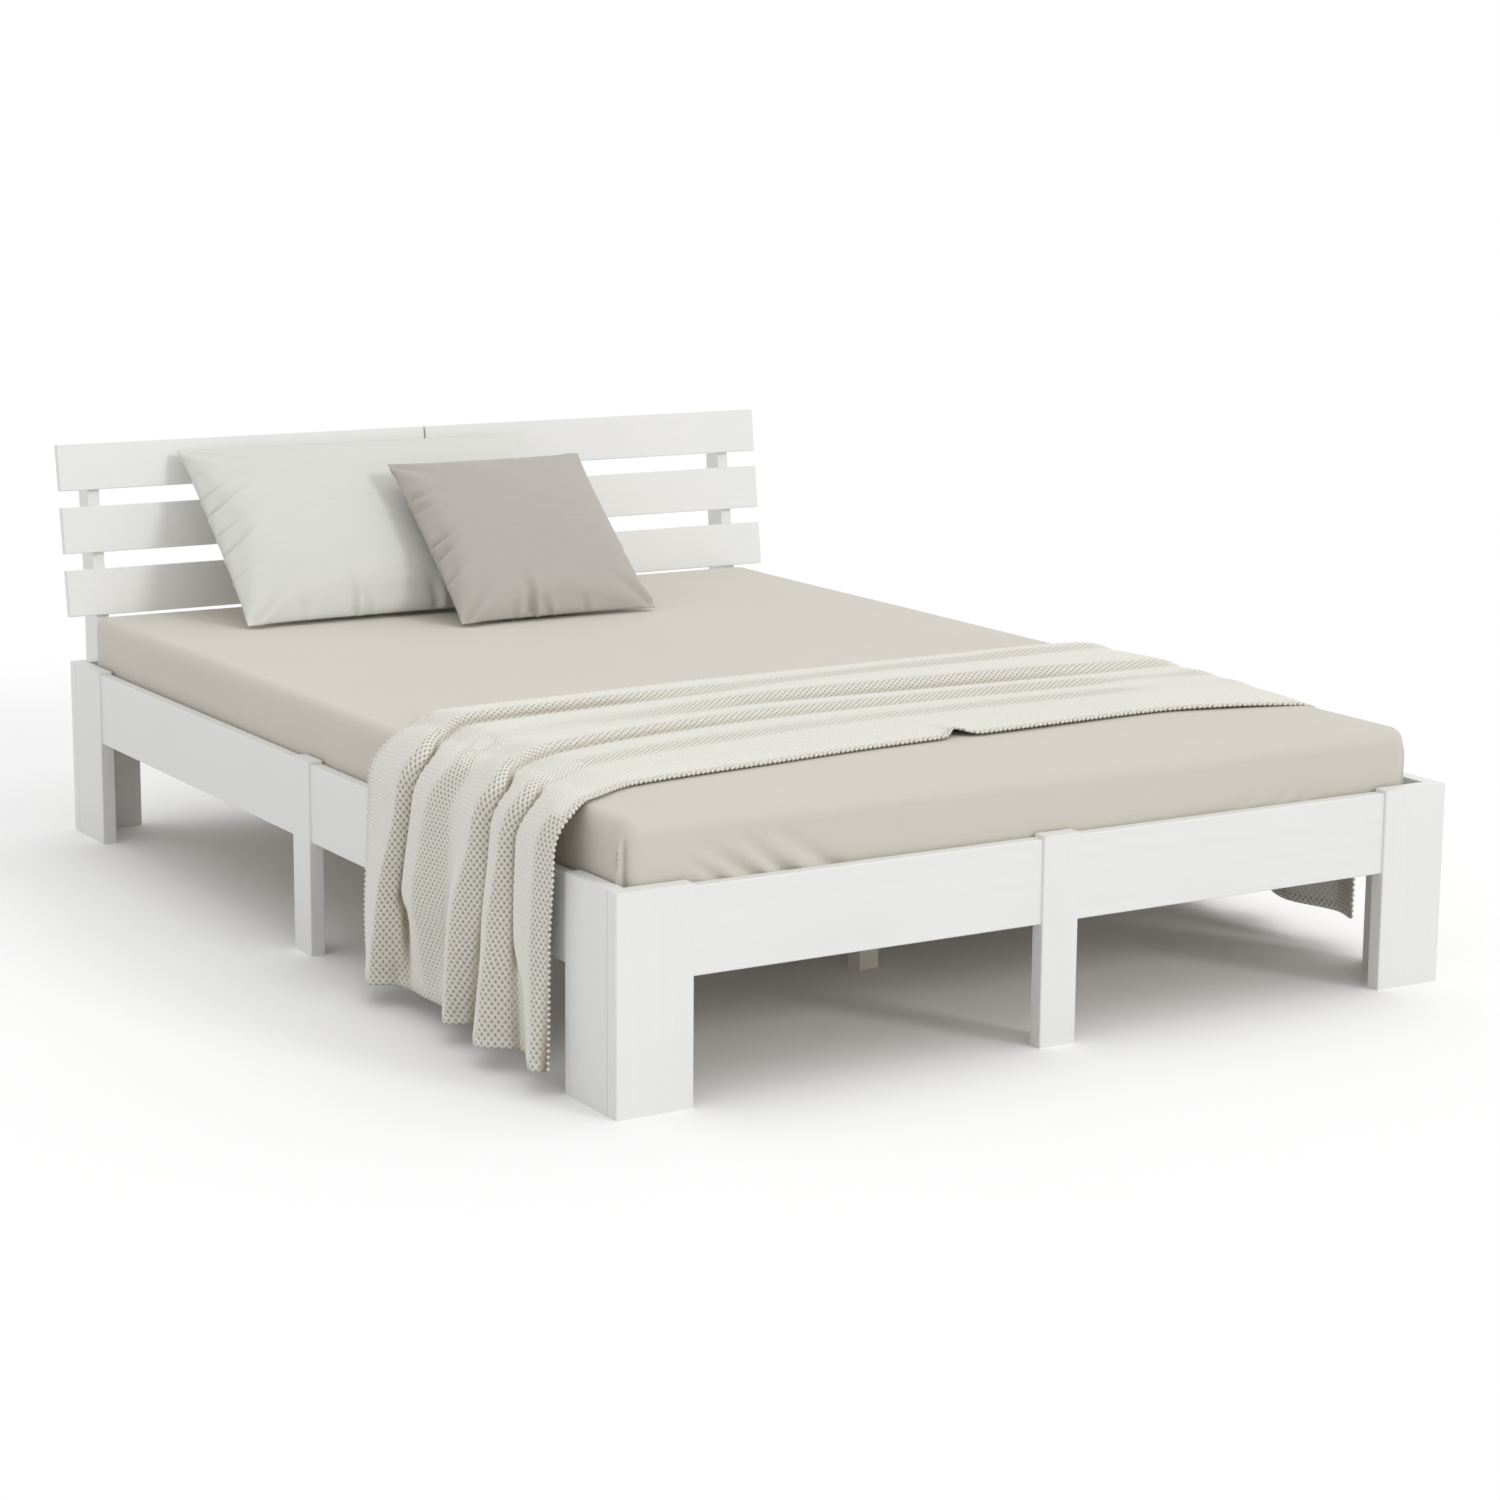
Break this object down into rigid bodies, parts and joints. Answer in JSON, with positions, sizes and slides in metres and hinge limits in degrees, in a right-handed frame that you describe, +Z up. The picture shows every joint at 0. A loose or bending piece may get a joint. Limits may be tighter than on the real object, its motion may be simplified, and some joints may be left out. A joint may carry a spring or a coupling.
{
  "type": "wooden bed",
  "caption": "Low white wooden bed with board legs, split rails and a leaning slatted headboard, made up with a mattress, sheet, pillow, cushion and folded knit throw.",
  "frame": {"origin": "on the floor under the middle of the bed, at the foot of the middle centre leg", "axes": "+Z up, +Y towards the headboard, +X to the right of someone lying on their back and to the right seen from the foot end"},
  "size_m": [1.533, 2.1255, 0.7069],
  "materials": {
    "painted_wood": "satin white paint",
    "bare_pine": "planed and unpainted",
    "zinc_steel": "zinc plated",
    "webbing": "woven tape",
    "mattress_cover": "knitted cover",
    "sheet_cotton": "plain cotton",
    "pillow_cotton": "plain cotton",
    "cushion_cotton": "plain cotton",
    "throw_knit": "honeycomb knit"
  },
  "bodies": {
    "frame": {"beam_splice_bolts": "zinc_steel", "beam_splice_plates": "zinc_steel", "beam_stirrups": "zinc_steel", "bed_slats_foot": "bare_pine", "bed_slats_head": "bare_pine", "centre_beam_foot": "bare_pine", "centre_beam_head": "bare_pine", "centre_leg_foot": "painted_wood", "centre_leg_head": "painted_wood", "centre_leg_middle": "painted_wood", "centre_leg_studs": "zinc_steel", "corner_brackets": "zinc_steel", "end_batten_foot_left": "bare_pine", "end_batten_foot_right": "bare_pine", "end_batten_head_left": "bare_pine", "end_batten_head_right": "bare_pine", "end_rail_foot_left": "painted_wood", "end_rail_foot_right": "painted_wood", "end_rail_head_left": "painted_wood", "end_rail_head_right": "painted_wood", "foot_left_leg_face": "painted_wood", "foot_left_leg_side": "painted_wood", "foot_right_leg_face": "painted_wood", "foot_right_leg_side": "painted_wood", "head_left_leg_face": "painted_wood", "head_left_leg_side": "painted_wood", "head_right_leg_face": "painted_wood", "head_right_leg_side": "painted_wood", "headboard_board_low_left": "painted_wood", "headboard_board_low_right": "painted_wood", "headboard_board_middle_left": "painted_wood", "headboard_board_middle_right": "painted_wood", "headboard_board_top_left": "painted_wood", "headboard_board_top_right": "painted_wood", "headboard_bolts": "zinc_steel", "headboard_post_centre": "painted_wood", "headboard_post_left": "painted_wood", "headboard_post_right": "painted_wood", "mid_leg_foot": "painted_wood", "mid_leg_head": "painted_wood", "mid_leg_left": "painted_wood", "mid_leg_plates": "zinc_steel", "mid_leg_right": "painted_wood", "side_batten_left_foot": "bare_pine", "side_batten_left_head": "bare_pine", "side_batten_right_foot": "bare_pine", "side_batten_right_head": "bare_pine", "side_rail_left_foot": "painted_wood", "side_rail_left_head": "painted_wood", "side_rail_right_foot": "painted_wood", "side_rail_right_head": "painted_wood", "slat_webbing": "webbing"},
    "mattress": {"mattress": "mattress_cover", "fitted_sheet": "sheet_cotton"},
    "throw": {"throw": "throw_knit"},
    "pillow": {"pillow_large": "pillow_cotton"},
    "cushion": {"cushion_small": "cushion_cotton"}
  },
  "joints": [
    {"name": "mattress_lift", "type": "slide", "parent": "frame", "child": "mattress", "axis": [0, 0, 1], "range_m": [0, 0.25]},
    {"name": "throw_lift", "type": "slide", "parent": "mattress", "child": "throw", "axis": [0, 0, 1], "range_m": [0, 0.3]},
    {"name": "pillow_lift", "type": "slide", "parent": "mattress", "child": "pillow", "axis": [0, 0, 1], "range_m": [0, 0.25]},
    {"name": "cushion_lift", "type": "slide", "parent": "pillow", "child": "cushion", "axis": [0, 0, 1], "range_m": [0, 0.25]}
  ]
}
